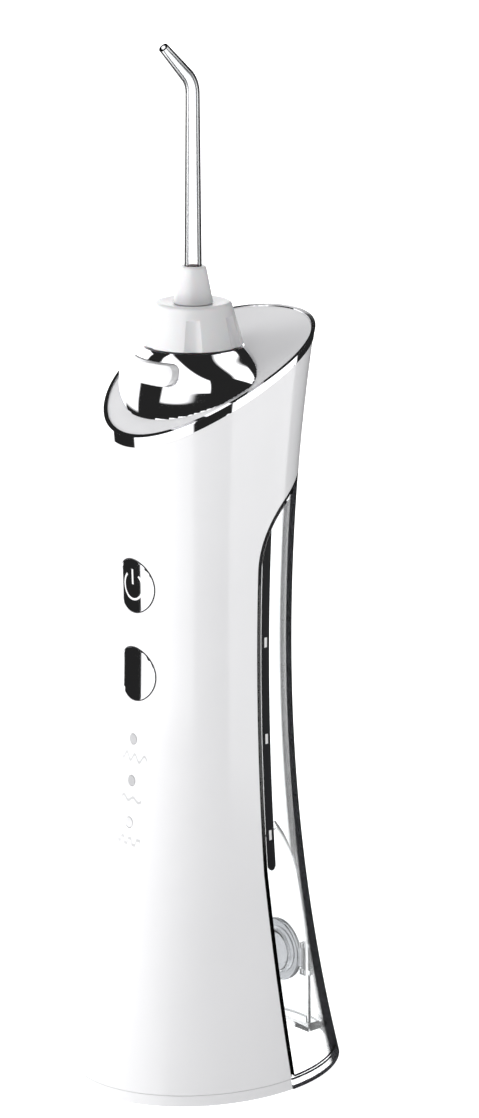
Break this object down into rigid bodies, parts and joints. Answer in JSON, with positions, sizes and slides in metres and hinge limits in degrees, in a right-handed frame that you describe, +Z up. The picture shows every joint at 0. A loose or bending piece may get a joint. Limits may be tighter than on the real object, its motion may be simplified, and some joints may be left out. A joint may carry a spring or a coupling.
{
  "type": "water flosser",
  "caption": "Cordless water flosser: waisted glossy white handle, clear rear water tank, bright collar and a bent clear jet nozzle on a turning knob.",
  "frame": {"origin": "middle of the base on the floor, below the middle of the outline", "axes": "+Z up along the handle, -Y towards the front with the push buttons, +X to the right seen from the front"},
  "size_m": [0.069, 0.0818, 0.292],
  "materials": {
    "white_shell": "glossy moulded white",
    "white_frame": "plain moulded white",
    "white_base": "glossy moulded white",
    "white_flap": "satin soft white",
    "white_knob": "satin moulded white",
    "white_pill": "glossy moulded white",
    "grey_deck": "glossy light grey",
    "chrome_ring": "bright plated",
    "chrome_collar": "bright plated",
    "chrome_button": "bright plated",
    "steel": "plain steel",
    "spring_steel": "drawn spring wire",
    "motor_steel": "zinc plated",
    "magnet": "sintered dark grey",
    "brass": "machined brass",
    "rubber": "soft black rubber",
    "black_plastic": "matt black",
    "gear_plastic": "natural acetal",
    "board": "green solder mask",
    "cell_sleeve": "blue shrink sleeve",
    "led": "pale lamp",
    "clear_lens": "clear moulded",
    "clear_tube": "clear moulded",
    "clear_tank": "clear moulded",
    "clear_cap": "clear moulded",
    "hose_silicone": "milky silicone",
    "dark_strip": "glossy black",
    "white_tick": "printed white"
  },
  "bodies": {
    "handle": {"handle_shell": "white_shell", "rear_partition": "white_frame", "base_cap": "white_base", "base_screws": "steel", "trim_ring": "chrome_ring", "top_deck": "grey_deck", "nozzle_collar": "chrome_collar", "nozzle_socket": "white_frame", "socket_screws": "steel", "head_plate": "white_frame", "release_spring": "spring_steel", "button_gaskets": "rubber", "light_pipes": "clear_lens", "lamp_leds": "led", "control_board": "board", "tact_switches": "black_plastic", "control_chip": "black_plastic", "battery_cell": "cell_sleeve", "battery_clips": "black_plastic", "motor_case": "motor_steel", "motor_end_cap": "black_plastic", "motor_magnets": "magnet", "motor_cradle": "white_frame", "gear_axle": "steel", "drive_frame": "white_frame", "pump_body": "gear_plastic", "pump_head": "gear_plastic", "inlet_valve_spring": "spring_steel", "outlet_valve_spring": "spring_steel", "suction_hose": "hose_silicone", "pressure_hose": "hose_silicone", "tank_grommet": "rubber", "charge_tray": "white_frame", "charge_socket": "motor_steel", "charge_board": "board"},
    "knob": {"nozzle_knob": "white_knob"},
    "nozzle": {"nozzle_cone": "white_knob", "nozzle_tube": "clear_tube", "nozzle_o_ring": "rubber"},
    "release": {"release_button": "white_pill", "release_latch": "white_frame"},
    "power_key": {"power_button": "chrome_button"},
    "mode_key": {"mode_button": "chrome_button"},
    "rotor": {"motor_rotor": "motor_steel", "drive_pinion": "brass"},
    "crank": {"crank_gear": "gear_plastic"},
    "piston_set": {"piston": "gear_plastic", "wrist_pin": "steel", "piston_seal": "rubber"},
    "rod": {"connecting_rod": "gear_plastic"},
    "inlet_valve": {"inlet_valve_ball": "steel"},
    "outlet_valve": {"outlet_valve_ball": "steel"},
    "tank": {"tank_shell": "clear_tank", "tank_front": "clear_tank", "level_strips": "dark_strip", "level_ticks": "white_tick", "cap_hinge_pin": "steel", "cap_lugs": "clear_tank"},
    "cap": {"fill_cap": "clear_cap"},
    "flap": {"charge_flap": "white_flap"}
  },
  "joints": [
    {"name": "knob_turn", "type": "hinge", "parent": "handle", "child": "knob", "pos_m": [0, -0.004, 0.2088], "axis": [0, 0, 1], "continuous": true},
    {"name": "nozzle_pull", "type": "slide", "parent": "knob", "child": "nozzle", "axis": [0, 0, 1], "range_m": [0, 0.045]},
    {"name": "release_press", "type": "slide", "parent": "handle", "child": "release", "axis": [0, 1, 0], "range_m": [0, 0.0016], "stiffness_N_per_m": 900, "springref_m": -0.001, "deforming": ["release_spring"]},
    {"name": "power_press", "type": "slide", "parent": "handle", "child": "power_key", "axis": [0, 1, 0], "range_m": [0, 0.0005], "stiffness_N_per_m": 1500, "springref_m": -0.0005},
    {"name": "mode_press", "type": "slide", "parent": "handle", "child": "mode_key", "axis": [0, 1, 0], "range_m": [0, 0.0005], "stiffness_N_per_m": 1500, "springref_m": -0.0005},
    {"name": "motor_spin", "type": "hinge", "parent": "handle", "child": "rotor", "pos_m": [0, 0, 0.0175], "axis": [0, 1, 0], "continuous": true},
    {"name": "crank_spin", "type": "hinge", "parent": "handle", "child": "crank", "pos_m": [0, 0, 0.03266], "axis": [0, 1, 0], "continuous": true},
    {"name": "piston_slide", "type": "slide", "parent": "handle", "child": "piston_set", "axis": [0, 0, 1], "range_m": [-0.0055, 0]},
    {"name": "rod_swing", "type": "hinge", "parent": "piston_set", "child": "rod", "pos_m": [0, -0.0095, 0.05541], "axis": [0, 1, 0], "range_deg": [-8, 8]},
    {"name": "inlet_valve_lift", "type": "slide", "parent": "handle", "child": "inlet_valve", "axis": [0, 0, 1], "range_m": [0, 0.0008], "stiffness_N_per_m": 40, "springref_m": -0.001, "deforming": ["inlet_valve_spring"]},
    {"name": "outlet_valve_lift", "type": "slide", "parent": "handle", "child": "outlet_valve", "axis": [0, 0, 1], "range_m": [0, 0.0008], "stiffness_N_per_m": 40, "springref_m": -0.001, "deforming": ["outlet_valve_spring"]},
    {"name": "tank_slide", "type": "slide", "parent": "handle", "child": "tank", "axis": [0, 1, 0], "range_m": [0, 0.06]},
    {"name": "cap_hinge", "type": "hinge", "parent": "tank", "child": "cap", "pos_m": [0.0112, 0.0291, 0.027], "axis": [0, 0, -1], "range_deg": [0, 95]},
    {"name": "flap_hinge", "type": "hinge", "parent": "handle", "child": "flap", "pos_m": [0, 0.02812, 0.19135], "axis": [-1, 0, 0], "range_deg": [0, 100]}
  ],
  "couplings": [
    {"joint": "crank_spin", "follows": "motor_spin", "ratio": -0.25}
  ]
}
